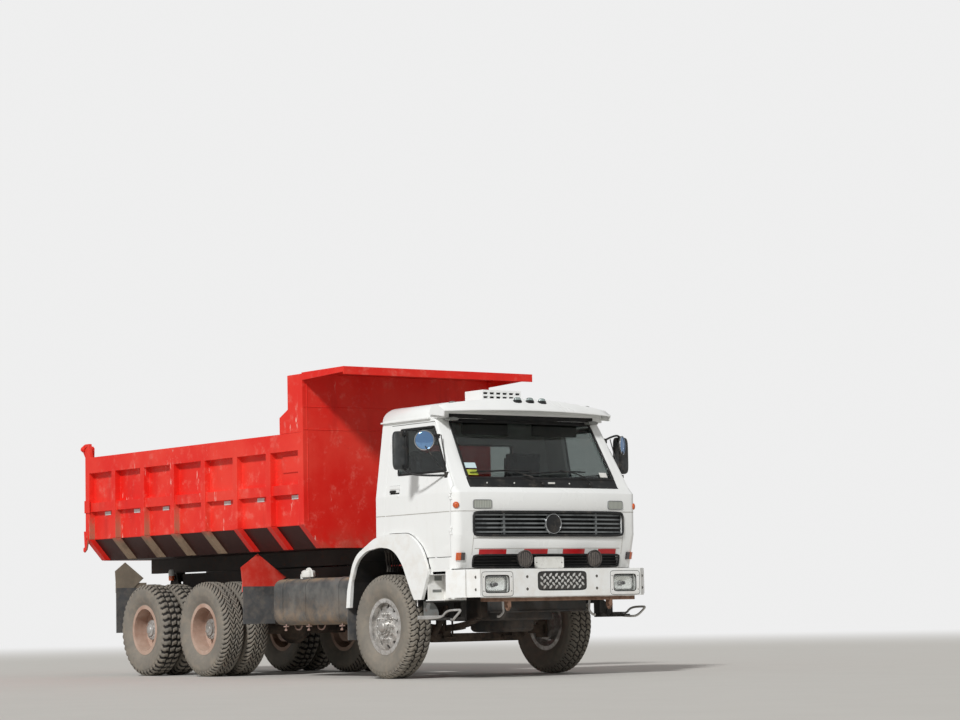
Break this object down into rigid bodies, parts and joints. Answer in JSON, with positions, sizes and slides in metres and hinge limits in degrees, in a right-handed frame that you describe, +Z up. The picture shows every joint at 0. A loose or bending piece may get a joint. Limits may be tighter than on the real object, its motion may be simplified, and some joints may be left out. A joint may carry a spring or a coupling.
{
  "type": "dump truck",
  "caption": "Three-axle dump truck: forward-control cab, ribbed tipping body with a cab shield, top-hung tailgate, underbody hoist, steered front wheels and twin rear wheels.",
  "frame": {"origin": "centre of the overall box, on the ground", "axes": "+X forward, +Y to the left of the truck, +Z up"},
  "size_m": [7.898, 3.044, 3.274],
  "materials": {
    "chassis": "worn black paint under dust",
    "axles": "dusty dark paint",
    "engine": "oily cast iron",
    "radiator": "dusty fins",
    "tank": "dark grey paint with dried mud",
    "exhaust": "rusty steel",
    "cab_white": "gloss white paint, dusty at the foot",
    "glass": "clear tinted glass",
    "black_plastic": "satin black",
    "trim_plastic": "grained dark grey",
    "lamp_glass": "fluted clear lens",
    "seat_cloth": "woven seat cloth",
    "step_metal": "scuffed grey paint",
    "body_red": "faded red paint with scrapes",
    "flap_rubber": "dusty rubber",
    "rod_chrome": "polished",
    "tyre": "dusty tread",
    "wheel_silver": "silver paint",
    "wheel_tan": "faded primer under dust"
  },
  "bodies": {
    "root": {"chassis_rails": "chassis", "cross_members": "chassis", "hoist_subframe": "chassis", "front_axle_beam": "axles", "leaf_springs": "axles", "rear_axles": "axles", "engine": "engine", "radiator": "radiator", "fuel_tank": "tank", "battery_box": "chassis", "air_tanks": "chassis", "exhaust": "exhaust", "bumper": "cab_white", "cab_shell": "cab_white", "cab_back": "cab_white", "cab_roof": "cab_white", "sun_visor": "cab_white", "cab_floor": "chassis", "cab_windows": "glass", "grilles": "black_plastic", "lamps": "lamp_glass", "dashboard": "trim_plastic", "steering_wheel": "black_plastic", "seats": "seat_cloth", "front_fenders": "cab_white", "cab_steps": "step_metal", "guard_plates": "body_red", "mud_flaps": "flap_rubber", "air_intake": "black_plastic"},
    "bed": {"bed_floor": "body_red", "bed_sides": "body_red", "bed_lower_ribs": "body_red", "bed_bearers": "body_red", "bed_headboard": "body_red", "bed_canopy": "body_red"},
    "tailgate": {"tailgate": "body_red"},
    "hoist_barrel": {"hoist_barrel": "chassis"},
    "hoist_rod": {"hoist_rod": "rod_chrome"},
    "knuckle_left": {"knuckle_left": "axles"},
    "wheel_front_left": {"tyre_front_left": "tyre", "rim_front_left": "wheel_silver"},
    "door_left": {"door_left": "cab_white", "door_glass_left": "glass", "mirrors_left": "black_plastic"},
    "wheels_middle_left": {"tyres_middle_left": "tyre", "rims_middle_left": "wheel_tan"},
    "wheels_rear_left": {"tyres_rear_left": "tyre", "rims_rear_left": "wheel_tan"},
    "knuckle_right": {"knuckle_right": "axles"},
    "wheel_front_right": {"tyre_front_right": "tyre", "rim_front_right": "wheel_silver"},
    "door_right": {"door_right": "cab_white", "door_glass_right": "glass", "mirrors_right": "black_plastic"},
    "wheels_middle_right": {"tyres_middle_right": "tyre", "rims_middle_right": "wheel_tan"},
    "wheels_rear_right": {"tyres_rear_right": "tyre", "rims_rear_right": "wheel_tan"}
  },
  "joints": [
    {"name": "steer_left", "type": "hinge", "parent": "root", "child": "knuckle_left", "pos_m": [2.429, 0.86, 0.475], "axis": [0, 0, 1], "range_deg": [-34, 34]},
    {"name": "roll_front_left", "type": "hinge", "parent": "knuckle_left", "child": "wheel_front_left", "pos_m": [2.429, 1.041, 0.535], "axis": [0, 1, 0], "continuous": true},
    {"name": "roll_middle_left", "type": "hinge", "parent": "root", "child": "wheels_middle_left", "pos_m": [-1.128, 0.947, 0.535], "axis": [0, 1, 0], "continuous": true},
    {"name": "roll_rear_left", "type": "hinge", "parent": "root", "child": "wheels_rear_left", "pos_m": [-2.488, 0.947, 0.535], "axis": [0, 1, 0], "continuous": true},
    {"name": "door_left_hinge", "type": "hinge", "parent": "root", "child": "door_left", "pos_m": [3.651, 1.163, 1.655], "axis": [0, 0, -1], "range_deg": [0, 65]},
    {"name": "steer_right", "type": "hinge", "parent": "root", "child": "knuckle_right", "pos_m": [2.429, -0.86, 0.475], "axis": [0, 0, 1], "range_deg": [-34, 34]},
    {"name": "roll_front_right", "type": "hinge", "parent": "knuckle_right", "child": "wheel_front_right", "pos_m": [2.429, -1.041, 0.535], "axis": [0, 1, 0], "continuous": true},
    {"name": "roll_middle_right", "type": "hinge", "parent": "root", "child": "wheels_middle_right", "pos_m": [-1.128, -0.947, 0.535], "axis": [0, 1, 0], "continuous": true},
    {"name": "roll_rear_right", "type": "hinge", "parent": "root", "child": "wheels_rear_right", "pos_m": [-2.488, -0.947, 0.535], "axis": [0, 1, 0], "continuous": true},
    {"name": "door_right_hinge", "type": "hinge", "parent": "root", "child": "door_right", "pos_m": [3.651, -1.163, 1.655], "axis": [0, 0, 1], "range_deg": [0, 65]},
    {"name": "bed_tilt", "type": "hinge", "parent": "root", "child": "bed", "pos_m": [-3.071, 0, 1.15], "axis": [0, -1, 0], "range_deg": [0, 45]},
    {"name": "tailgate_swing", "type": "hinge", "parent": "bed", "child": "tailgate", "pos_m": [-3.908, 0, 2.742], "axis": [0, 1, 0], "range_deg": [0, 60]},
    {"name": "hoist_swing", "type": "hinge", "parent": "root", "child": "hoist_barrel", "pos_m": [-1.471, 0, 0.88], "axis": [0, -1, 0], "range_deg": [0, 65.2]},
    {"name": "hoist_stroke", "type": "slide", "parent": "hoist_barrel", "child": "hoist_rod", "axis": [0.9731, 0, 0.2303], "range_m": [0, 1.05]}
  ],
  "couplings": [
    {"joint": "steer_right", "follows": "steer_left", "ratio": 1},
    {"joint": "hoist_swing", "follows": "bed_tilt", "ratio": 1.4395},
    {"joint": "hoist_stroke", "follows": "bed_tilt", "m_per_rad": 1.3193}
  ]
}
